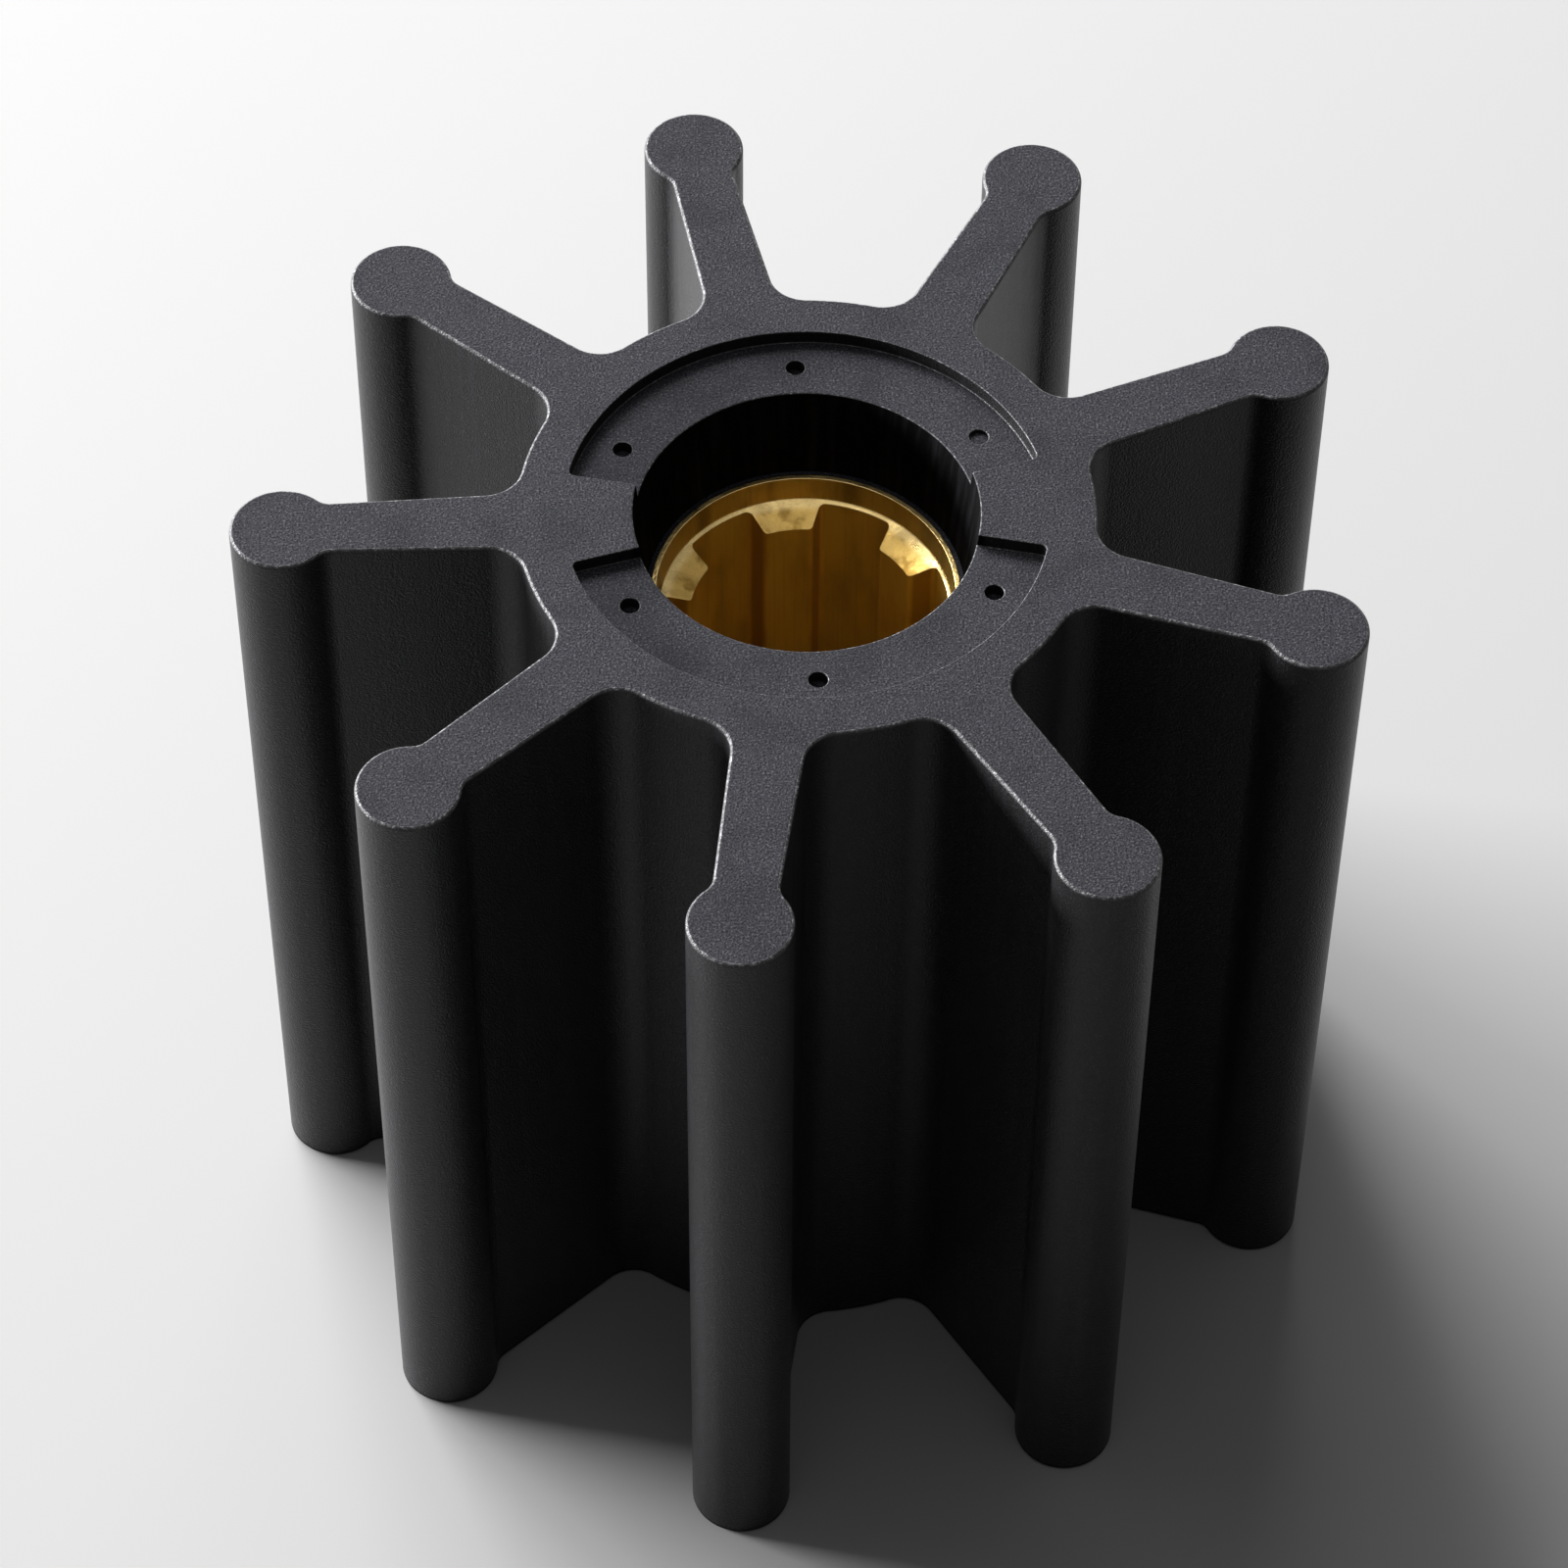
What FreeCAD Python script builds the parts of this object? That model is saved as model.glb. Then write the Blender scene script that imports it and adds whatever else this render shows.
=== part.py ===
import FreeCAD, Part
import math
import os

# Flexible impeller of a raw-water pump, standing on one end.
# One moulded rubber body with nine bulb-tipped vanes is bonded to a splined brass insert.
# The origin is on the shaft axis in the plane of the lower end face, and the units are millimetres.
# One vane points along -X, and the bridges across the end recesses lie on the X axis.

# Rubber body: hub and vanes
body_height = 83.0
hub_radius = 24.0
vane_count = 9
first_vane_angle = 180.0
bulb_radius = 4.3
bulb_circle_radius = 43.2
web_root_thickness = 6.1
web_tip_thickness = 5.2
root_fillet_radius = 3.2
neck_fillet_radius = 1.7
end_edge_chamfer = 0.3

# Rubber body: recess in each end face, split by two raised bridges
recess_radius = 20.1
recess_depth = 1.3
bridge_angle = 28.0
recess_corner_round = 0.5

# Rubber body: blind pin pits in each recess floor
pit_count = 6
pit_circle_radius = 17.2
pit_radius = 0.8
pit_depth = 1.1
worn_pit_depth = 0.4
worn_pit_number = 0

# Rubber body: tapered mouths that lead down to the insert
mouth_radius = 14.35
mouth_depth = 10.1
lip_width = 0.35

# Brass insert: outside
spigot_radius = 13.0
spigot_length = 3.0
barrel_radius = 15.0
flute_count = 8
flute_radius = 1.2

# Brass insert: counterbore and lead-in at each end
rim_width = 0.5
counterbore_depth = 2.4
counterbore_taper = 0.12
lead_in_angle = 20.0

# Brass insert: internal spline
tooth_count = 6
tooth_phase = 95.4
groove_radius = 12.0
tooth_tip_radius = 9.7
tooth_root_width = 6.1
tooth_tip_width = 4.0
groove_corner_round = 0.5
tooth_corner_round = 0.3

# How far a cutting tool runs past the face that it cuts
overrun = 1.0

AXIS = FreeCAD.Vector(0, 0, 1)
ORIGIN = FreeCAD.Vector(0, 0, 0)

vane_pitch = 360.0 / vane_count
insert_length = body_height - 2 * mouth_depth
seat_radius = spigot_radius + lip_width


def polar(radius, angle, z=0.0):
    """A point at a radius and an angle in degrees about the shaft axis."""
    turn = math.radians(angle)
    return FreeCAD.Vector(radius * math.cos(turn), radius * math.sin(turn), z)


def turned(point, angle):
    """A point turned about the shaft axis by an angle in degrees."""
    return FreeCAD.Rotation(AXIS, angle).multVec(point)


def arc(start, middle, end):
    """A circular edge through three points."""
    return Part.Arc(start, middle, end).toShape()


def line(start, end):
    """A straight edge between two points."""
    return Part.LineSegment(start, end).toShape()


def prism(edges, z, height):
    """A solid of constant outline from z upwards."""
    outline = Part.Wire(Part.__sortEdges__(edges))
    outline.translate(AXIS * z)
    return Part.Face(outline).extrude(AXIS * height)


def turned_solid(points):
    """A solid of revolution about the shaft axis from (radius, z) points."""
    corners = [FreeCAD.Vector(radius, 0, z) for radius, z in points]
    profile = Part.makePolygon(corners + corners[:1])
    return Part.Face(profile).revolve(ORIGIN, AXIS, 360)


def upright_edges(solid, radius):
    """The vertical edges of a prism that stand at one radius."""
    found = []
    for edge in solid.Edges:
        ends = [vertex.Point for vertex in edge.Vertexes]
        if len(ends) != 2:
            continue
        upright = math.hypot(ends[0].x - ends[1].x, ends[0].y - ends[1].y) < 1e-6
        if upright and abs(math.hypot(ends[0].x, ends[0].y) - radius) < 1e-4:
            found.append(edge)
    return found


def at_both_ends(tool):
    """A tool for the upper end with its mirror image at the lower end."""
    middle = FreeCAD.Vector(0, 0, body_height / 2)
    return [tool, tool.mirror(middle, AXIS)]


def web_half_width(x):
    """Half the thickness of a vane's web at a distance x from the shaft axis."""
    share = (x - hub_radius) / (bulb_circle_radius - hub_radius)
    return (web_root_thickness + (web_tip_thickness - web_root_thickness) * share) / 2


def flank_normal():
    """The outward normal of a web's upper flank, for a vane that points along +X."""
    rise = web_half_width(1.0) - web_half_width(0.0)
    return FreeCAD.Vector(-rise, 1.0, 0.0).normalize()


def flank_blend(centre_x, circle_radius, blend_radius, side):
    """Where a fillet meets a web's flank and a circle centred on the vane.

    The circle is the hub, with side 1, or the bulb, with side -1. The points returned are
    those on the circle, in the middle of the fillet and on the flank.
    """
    normal = flank_normal()
    slope = -normal.x / normal.y
    lift = web_half_width(0.0) + blend_radius / normal.y
    reach = circle_radius + blend_radius
    square = 1 + slope ** 2
    half_linear = slope * lift - centre_x
    constant = lift ** 2 + centre_x ** 2 - reach ** 2
    x = (-half_linear + side * math.sqrt(half_linear ** 2 - square * constant)) / square
    centre = FreeCAD.Vector(x, lift + slope * x, 0)
    circle_centre = FreeCAD.Vector(centre_x, 0, 0)
    on_circle = centre + (circle_centre - centre).normalize() * blend_radius
    on_flank = centre - normal * blend_radius
    between = ((on_circle - centre) + (on_flank - centre)).normalize() * blend_radius
    return on_circle, centre + between, on_flank


def vane_edges(angle):
    """The outline of one vane, from hub circle to hub circle, and the hub arc after it."""
    root = flank_blend(0.0, hub_radius, root_fillet_radius, 1)
    neck = flank_blend(bulb_circle_radius, bulb_radius, neck_fillet_radius, -1)
    tip = FreeCAD.Vector(bulb_circle_radius + bulb_radius, 0, 0)

    def place(point, mirrored):
        """A point of the vane's upper flank, or its mirror image, at the vane's angle."""
        return turned(FreeCAD.Vector(point.x, -point.y if mirrored else point.y, 0), angle)

    edges = []
    for mirrored in (True, False):
        edges.append(arc(*[place(point, mirrored) for point in root]))
        edges.append(line(place(root[2], mirrored), place(neck[2], mirrored)))
        edges.append(arc(*[place(point, mirrored) for point in neck]))
    edges.append(arc(place(neck[0], True), place(tip, False), place(neck[0], False)))
    hub_middle = polar(hub_radius, angle + vane_pitch / 2)
    next_root = turned(place(root[0], True), vane_pitch)
    edges.append(arc(place(root[0], False), hub_middle, next_root))
    return edges


def star_body():
    """The hub and its vanes as one prism with eased rims."""
    edges = []
    for number in range(vane_count):
        edges += vane_edges(first_vane_angle + number * vane_pitch)
    star = prism(edges, 0, body_height)
    rims = [edge for edge in star.Edges if edge.BoundBox.ZLength < 1e-6]
    return star.makeChamfer(end_edge_chamfer, rims)


def mouth():
    """The tapered opening from the upper end face down to the insert."""
    floor = body_height - mouth_depth
    slope = (mouth_radius - seat_radius) / mouth_depth
    return turned_solid([
        (0, floor),
        (seat_radius, floor),
        (mouth_radius + slope * overrun, body_height + overrun),
        (0, body_height + overrun),
    ])


def recess_pocket(middle_angle):
    """One arc-shaped pocket of the upper end face, between the two bridges."""
    half = (180.0 - bridge_angle) / 2
    inner = seat_radius
    start, end = middle_angle - half, middle_angle + half
    edges = [
        arc(polar(recess_radius, start), polar(recess_radius, middle_angle), polar(recess_radius, end)),
        line(polar(recess_radius, end), polar(inner, end)),
        arc(polar(inner, end), polar(inner, middle_angle), polar(inner, start)),
        line(polar(inner, start), polar(recess_radius, start)),
    ]
    pocket = prism(edges, body_height - recess_depth, recess_depth + overrun)
    return pocket.makeFillet(recess_corner_round, upright_edges(pocket, recess_radius))


def pin_pit(number):
    """One blind pit in the floor of the upper recess."""
    depth = worn_pit_depth if number == worn_pit_number else pit_depth
    floor = body_height - recess_depth
    angle = (number + 0.5) * 360.0 / pit_count
    return Part.makeCylinder(pit_radius, depth + overrun, polar(pit_circle_radius, angle, floor - depth))


def insert_blank():
    """The outside of the insert: a fluted barrel with a plain spigot at each end."""
    low = mouth_depth
    high = mouth_depth + insert_length
    blank = turned_solid([
        (0, low),
        (spigot_radius, low),
        (spigot_radius, low + spigot_length),
        (barrel_radius, low + spigot_length),
        (barrel_radius, high - spigot_length),
        (spigot_radius, high - spigot_length),
        (spigot_radius, high),
        (0, high),
    ])
    flutes = []
    for number in range(flute_count):
        foot = polar(barrel_radius, number * 360.0 / flute_count, low + spigot_length - overrun)
        flute_length = insert_length - 2 * spigot_length + 2 * overrun
        flutes.append(Part.makeCylinder(flute_radius, flute_length, foot))
    return blank.cut(flutes)


def spline_void():
    """The space inside the spline: grooves between teeth that narrow towards their tips."""
    root_half = math.degrees(math.asin(tooth_root_width / 2 / groove_radius))
    tip_half = math.degrees(math.asin(tooth_tip_width / 2 / tooth_tip_radius))
    pitch = 360.0 / tooth_count
    edges = []
    for number in range(tooth_count):
        angle = tooth_phase + number * pitch
        tip_start = polar(tooth_tip_radius, angle - tip_half)
        tip_end = polar(tooth_tip_radius, angle + tip_half)
        root_end = polar(groove_radius, angle + root_half)
        next_root = polar(groove_radius, angle + pitch - root_half)
        next_tip = polar(tooth_tip_radius, angle + pitch - tip_half)
        edges.append(arc(tip_start, polar(tooth_tip_radius, angle), tip_end))
        edges.append(line(tip_end, root_end))
        edges.append(arc(root_end, polar(groove_radius, angle + pitch / 2), next_root))
        edges.append(line(next_root, next_tip))
    void = prism(edges, mouth_depth - overrun, insert_length + 2 * overrun)
    void = void.makeFillet(groove_corner_round, upright_edges(void, groove_radius))
    return void.makeFillet(tooth_corner_round, upright_edges(void, tooth_tip_radius))


def counterbore():
    """The counterbore and the coned lead-in at the insert's upper end."""
    top = mouth_depth + insert_length
    top_radius = spigot_radius - rim_width
    floor_radius = top_radius - counterbore_taper
    floor = top - counterbore_depth
    return turned_solid([
        (0, floor - floor_radius * math.tan(math.radians(lead_in_angle))),
        (floor_radius, floor),
        (top_radius, top),
        (top_radius, top + overrun),
        (0, top + overrun),
    ])


def rubber_body():
    """The moulded rubber body, open along the shaft axis where the insert sits."""
    tools = at_both_ends(mouth())
    tools += at_both_ends(recess_pocket(90.0))
    tools += at_both_ends(recess_pocket(270.0))
    for number in range(pit_count):
        tools += at_both_ends(pin_pit(number))
    tools.append(insert_blank())
    return star_body().cut(tools)


def splined_insert():
    """The brass insert that the shaft drives."""
    return insert_blank().cut([spline_void()] + at_both_ends(counterbore()))


def main():
    """Build each piece and write it to its own file."""
    os.makedirs("parts", exist_ok=True)
    pieces = {"rubber_body": rubber_body(), "splined_insert": splined_insert()}
    for name, shape in pieces.items():
        solid = shape.Solids[0]
        solid.exportStep(os.path.join("parts", name + ".step"))
        print(name, "valid", solid.isValid(), "solids", len(shape.Solids), "volume", round(solid.Volume, 1))


main()
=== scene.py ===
"""A flexible pump impeller on a plain pale floor: a moulded rubber body on a splined brass insert."""
import logging
import math
from dataclasses import dataclass, field
from enum import Enum
from typing import Callable, Optional, Union

import bmesh
import bpy
from mathutils import Matrix, Vector
from mathutils.geometry import intersect_line_sphere_2d


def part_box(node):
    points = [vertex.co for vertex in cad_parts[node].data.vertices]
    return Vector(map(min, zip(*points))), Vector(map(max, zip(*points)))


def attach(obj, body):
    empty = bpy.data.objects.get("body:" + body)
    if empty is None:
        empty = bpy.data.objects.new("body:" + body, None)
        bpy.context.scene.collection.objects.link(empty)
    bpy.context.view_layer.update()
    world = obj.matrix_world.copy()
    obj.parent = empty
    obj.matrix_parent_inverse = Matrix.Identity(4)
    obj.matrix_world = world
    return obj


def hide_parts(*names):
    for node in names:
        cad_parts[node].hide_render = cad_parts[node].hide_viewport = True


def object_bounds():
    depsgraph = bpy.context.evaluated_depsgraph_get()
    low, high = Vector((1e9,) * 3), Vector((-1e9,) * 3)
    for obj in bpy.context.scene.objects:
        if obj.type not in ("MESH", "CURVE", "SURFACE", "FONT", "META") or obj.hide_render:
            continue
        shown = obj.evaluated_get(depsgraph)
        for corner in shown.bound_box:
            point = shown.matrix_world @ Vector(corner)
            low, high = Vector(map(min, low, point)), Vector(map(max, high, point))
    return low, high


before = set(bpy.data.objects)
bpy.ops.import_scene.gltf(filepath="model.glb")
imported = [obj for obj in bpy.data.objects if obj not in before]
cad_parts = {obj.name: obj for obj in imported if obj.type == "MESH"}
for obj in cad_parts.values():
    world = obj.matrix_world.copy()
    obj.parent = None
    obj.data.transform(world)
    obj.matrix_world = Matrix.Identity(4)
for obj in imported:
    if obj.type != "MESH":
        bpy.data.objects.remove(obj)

log = logging.getLogger("impeller")

UP = Vector((0, 0, 1))
CENTRE = Vector((0, 0, 0))
FULL_TURN = 2 * math.pi

# One millimetre in metres. Forms are made in millimetres, and finished pieces are in metres.
MM = 0.001

# Lengths in millimetres: vertices nearer than WELD are one vertex, an edge shorter than SLIVER is
# collapsed before a rounding, and the floor lies FLOOR_GAP below the object.
WELD = 0.001
SLIVER = 0.03
FLOOR_GAP = 0.01

# The least turn between two faces at a corner, in degrees
LEAST_CORNER = 25.0

Colour = tuple[float, float, float]
Number = Union[float, "Field"]
Paint = Union[Colour, bpy.types.NodeSocket]
Vert = bmesh.types.BMVert
Edge = bmesh.types.BMEdge


class Slot(Enum):
    """The record's material slots."""

    RUBBER = "rubber"
    BRASS = "brass"


class Field:
    """A value that changes over a surface, on which Python's operators add Math nodes."""

    def __init__(self, nodes: "Nodes", socket: bpy.types.NodeSocket) -> None:
        """Wraps a socket.

        Args:
            nodes: The node tree that holds the socket.
            socket: An output socket with one number.
        """
        self.nodes = nodes
        self.socket = socket

    def _math(self, operation: str, *values: Number) -> "Field":
        """Adds a Math node.

        Args:
            operation: The node's operation.
            values: Its inputs, in order.

        Returns:
            The node's result.
        """
        made = self.nodes.node("ShaderNodeMath", {"operation": operation}, dict(enumerate(values)))
        return Field(self.nodes, made.outputs[0])

    def __add__(self, other: Number) -> "Field":
        """This plus other."""
        return self._math("ADD", self, other)

    def __radd__(self, other: float) -> "Field":
        """A number plus this."""
        return self._math("ADD", other, self)

    def __sub__(self, other: Number) -> "Field":
        """This minus other."""
        return self._math("SUBTRACT", self, other)

    def __rsub__(self, other: float) -> "Field":
        """A number minus this."""
        return self._math("SUBTRACT", other, self)

    def __mul__(self, other: Number) -> "Field":
        """This times other."""
        return self._math("MULTIPLY", self, other)

    def __rmul__(self, other: float) -> "Field":
        """A number times this."""
        return self._math("MULTIPLY", other, self)

    def __truediv__(self, other: Number) -> "Field":
        """This over other."""
        return self._math("DIVIDE", self, other)

    def __abs__(self) -> "Field":
        """This without its sign."""
        return self._math("ABSOLUTE", self)

    def or_more(self, other: Number) -> "Field":
        """This or other, whichever is larger."""
        return self._math("MAXIMUM", self, other)

    def root(self) -> "Field":
        """The square root."""
        return self._math("SQRT", self)

    def step(self, low: float, high: float) -> "Field":
        """Rises smoothly from 0 to 1.

        Args:
            low: The value at which the result is 0.
            high: The value at which the result is 1. Below low, the result falls with the value.

        Returns:
            The smooth step.
        """
        sockets = {"Value": self, "From Min": low, "From Max": high}
        made = self.nodes.node("ShaderNodeMapRange", {"interpolation_type": "SMOOTHSTEP"}, sockets)
        return Field(self.nodes, made.outputs["Result"])


class Nodes:
    """A node tree that is built from expressions."""

    def __init__(self, tree: bpy.types.NodeTree) -> None:
        """Empties a node tree and takes it over.

        Args:
            tree: The tree of a material or a world.
        """
        self.tree = tree
        self.tree.nodes.clear()

    def node(
        self, kind: str, settings: Optional[dict] = None, sockets: Optional[dict] = None
    ) -> bpy.types.Node:
        """Adds one node.

        Args:
            kind: The node's type.
            settings: Its properties, which are set before its sockets.
            sockets: Values or links of its inputs, by name or number.

        Returns:
            The node.
        """
        made = self.tree.nodes.new(kind)
        for name, value in (settings or {}).items():
            setattr(made, name, value)
        for name, value in (sockets or {}).items():
            entry = made.inputs[name]
            if isinstance(value, Field):
                self.tree.links.new(value.socket, entry)
            elif isinstance(value, bpy.types.NodeSocket):
                self.tree.links.new(value, entry)
            elif entry.type == "RGBA":
                entry.default_value = (*value, 1.0)
            else:
                entry.default_value = value
        return made


@dataclass(frozen=True)
class Grain:
    """The scale of a noise pattern.

    Attributes:
        size: The size of its spots along X, Y and Z, in millimetres.
        detail: How many finer layers are added.
        offset: Shifts the pattern, so that two of one size differ.
    """

    size: tuple[float, float, float]
    detail: float = 2.0
    offset: float = 0.0

    @classmethod
    def even(cls, size: float, detail: float = 2.0, offset: float = 0.0) -> "Grain":
        """A grain of one size along all axes."""
        return cls((size, size, size), detail, offset)


class Finish(Nodes):
    """A material with one Principled shader, over the piece's own coordinates, and a matt copy of it for
    painted shade.
    """

    def __init__(self, name: str) -> None:
        """Makes the material.

        Args:
            name: The material's name.
        """
        self.material = bpy.data.materials.new(name)
        self.material.use_nodes = True
        super().__init__(self.material.node_tree)
        place = self.node("ShaderNodeTexCoord")
        self.place = place.outputs["Object"]
        self.x, self.y, self.z = self.parts(self.place)
        self.level = abs(self.parts(place.outputs["Normal"])[2])
        self.radius = (self.x * self.x + self.y * self.y).root()

    def parts(self, vector: bpy.types.NodeSocket) -> tuple[Field, Field, Field]:
        """The three numbers of a vector."""
        split = self.node("ShaderNodeSeparateXYZ", sockets={"Vector": vector})
        return tuple(Field(self, socket) for socket in split.outputs)

    def noise(self, grain: Grain) -> Field:
        """Smooth noise over the piece.

        Args:
            grain: Its scale.

        Returns:
            The noise, from 0 to 1 and mostly near 0.5.
        """
        spread = {"Scale": tuple(1 / (MM * size) for size in grain.size), "Location": (grain.offset,) * 3}
        mapped = self.node("ShaderNodeMapping", sockets={"Vector": self.place, **spread})
        return self._noise_at(mapped.outputs[0], grain.detail)

    def rings(self, pitch: float) -> Field:
        """Noise that changes only with the distance from the shaft axis, like turned rings.

        Args:
            pitch: The width of a ring, in millimetres.

        Returns:
            The noise, from 0 to 1 and mostly near 0.5.
        """
        along = self.node("ShaderNodeCombineXYZ", sockets={"X": self.radius / (MM * pitch), "Y": 0.5})
        return self._noise_at(along.outputs[0], 2.0)

    def _noise_at(self, vector: bpy.types.NodeSocket, detail: float) -> Field:
        """Noise of one unit's size at a vector."""
        sockets = {"Vector": vector, "Scale": 1.0, "Detail": detail}
        return Field(self, self.node("ShaderNodeTexNoise", sockets=sockets).outputs["Fac"])

    def blend(self, share: Number, low: Paint, high: Paint) -> bpy.types.NodeSocket:
        """Mixes two colours.

        Args:
            share: The share of the second colour, from 0 to 1.
            low: The first colour.
            high: The second colour.

        Returns:
            The colour socket.
        """
        # The colour sockets go by number, because they share their names with those of other types.
        mixed = self.node("ShaderNodeMix", {"data_type": "RGBA"}, {"Factor": share, 6: low, 7: high})
        return mixed.outputs[2]

    def bump(
        self, height: Field, depth: float, over: Optional[bpy.types.NodeSocket] = None
    ) -> bpy.types.NodeSocket:
        """Tilts the surface by a height field.

        Args:
            height: The height, from 0 to 1.
            depth: How high 1 is, in millimetres.
            over: The normal of another bump that this one lies over.

        Returns:
            The normal socket.
        """
        sockets = {"Height": height, "Distance": depth * MM}
        if over is not None:
            sockets["Normal"] = over
        return self.node("ShaderNodeBump", sockets=sockets).outputs["Normal"]

    def close(self, sockets: dict, painted_hollow_shade: Optional[Field] = None) -> bpy.types.Material:
        """Adds the shader, with painted shade mixed in where it is asked for.

        Args:
            sockets: Values or links of the Principled shader.
            painted_hollow_shade: Share of painted shade, where a matt copy of the surface that mirrors
                nothing is mixed in, from 0 to 1.

        Returns:
            The finished material.
        """
        surface = self.node("ShaderNodeBsdfPrincipled", sockets=sockets)
        if painted_hollow_shade is not None:
            # Painted shade: a matt copy of the surface, which mirrors nothing, is mixed in where it is asked
            # for.
            matt = {"Base Color": sockets["Base Color"], "Roughness": 1.0, "Specular IOR Level": 0.0}
            deep = self.node("ShaderNodeBsdfPrincipled", sockets=matt)
            layers = {0: painted_hollow_shade, 1: surface.outputs[0], 2: deep.outputs[0]}
            surface = self.node("ShaderNodeMixShader", sockets=layers)
        self.node("ShaderNodeOutputMaterial", sockets={"Surface": surface.outputs[0]})
        return self.material


@dataclass(frozen=True)
class MouldedRubber:
    """Charcoal rubber: end faces grained by the mould, smoother walls and scuffed, speckled rims with a
    painted highlight; painted shade in the mouths and along the lower rim.

    Attributes:
        face: Colour of the end faces.
        pore: Colour of the dark specks of their grain.
        fleck: Colour of the light specks of their grain, and of the dust on the walls.
        wall: Colour of the walls.
        painted_shade: Painted shade, near black, on the mouths' walls and along the lower rim.
        scuff_and_glint: Colour of the rims: their scuffs and flash, and a painted highlight.
        burr_and_sparkle: Colour of the brightest specks along them: burrs of flash, with a painted sparkle.
        painted_hollow_shade: Radii between which the painted shade of the mouths ends, in millimetres.
        painted_contact_shadow: Heights between which the painted contact shadow along the lower rim ends, in
            millimetres.
    """

    face: Colour = (0.0335, 0.0335, 0.0410)
    pore: Colour = (0.007, 0.007, 0.0095)
    fleck: Colour = (0.106, 0.106, 0.118)
    wall: Colour = (0.0135, 0.0135, 0.0142)
    painted_shade: Colour = (0.002, 0.002, 0.002)
    scuff_and_glint: Colour = (0.17, 0.17, 0.18)
    burr_and_sparkle: Colour = (0.36, 0.36, 0.37)
    painted_hollow_shade: tuple[float, float] = (14.5, 15.5)
    painted_contact_shadow: tuple[float, float] = (0.4, 0.7)

    def material(self) -> bpy.types.Material:
        """Builds the material.

        Returns:
            The material of the whole rubber body.
        """
        made = Finish("moulded_rubber")
        flat = made.level.step(0.93, 0.99)
        # Painted shade: the mouths' walls are to be painted near black and made matt.
        inside = made.radius.step(MM * self.painted_hollow_shade[1], MM * self.painted_hollow_shade[0]) * (1 - flat)
        # Painted contact shadow: the lowest part of the walls.
        contact_shadow_share = made.z.step(MM * self.painted_contact_shadow[1], MM * self.painted_contact_shadow[0]) * (1 - flat)
        rim = made.level.step(0.15, 0.40) * made.level.step(0.985, 0.90)
        edge = made.level.step(0.45, 0.70) * made.level.step(0.985, 0.93)
        speck = made.noise(Grain.even(0.18, detail=2.0))
        cloud = made.noise(Grain.even(5.0, detail=3.0))
        streak = made.noise(Grain((0.9, 0.9, 45.0), detail=3.0))
        nick = made.noise(Grain.even(0.3, detail=2.0, offset=7.0))

        tone = made.blend(flat, self.wall, self.face)
        tone = made.blend(0.90 * flat * speck.step(0.54, 0.70), tone, self.fleck)
        tone = made.blend(0.90 * flat * speck.step(0.48, 0.34), tone, self.pore)
        tone = made.blend(0.25 * (1 - flat) * speck.step(0.54, 0.70), tone, self.fleck)
        # Painted shade: the mouths' walls are painted near black.
        tone = made.blend(0.9 * inside, tone, self.painted_shade)
        tone = made.blend(0.30 * flat * cloud.step(0.55, 0.30), tone, self.pore)
        tone = made.blend(0.25 * (1 - flat) * streak.step(0.45, 0.75), tone, self.face)
        # The rims are lighter for scuffs and flash, and partly as a painted highlight on their rounding.
        tone = made.blend(0.25 * rim, tone, self.scuff_and_glint)
        tone = made.blend(edge * (0.15 + 0.85 * nick.step(0.46, 0.60)), tone, self.scuff_and_glint)
        # The brightest specks along the rims are flash burrs with a painted sparkle.
        tone = made.blend(edge * nick.step(0.62, 0.72), tone, self.burr_and_sparkle)
        # Painted contact shadow: the lowest part of the walls is painted near black.
        tone = made.blend(contact_shadow_share, tone, self.painted_shade)

        normal = made.bump((1 - flat) * (1 - inside) * streak, 0.02)
        normal = made.bump((1.8 - 0.8 * flat - 1.7 * inside) * speck, 0.05, normal)
        # The mouths' walls are also made matt, without reflection: painted shade.
        return made.close({
            "Base Color": tone,
            "Roughness": 0.34 + 0.42 * flat + 0.35 * inside + 0.40 * contact_shadow_share + 0.10 * (streak - 0.5),
            "Normal": normal,
            "Specular IOR Level": 0.16,
        }, painted_hollow_shade=0.9 * inside)


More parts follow.
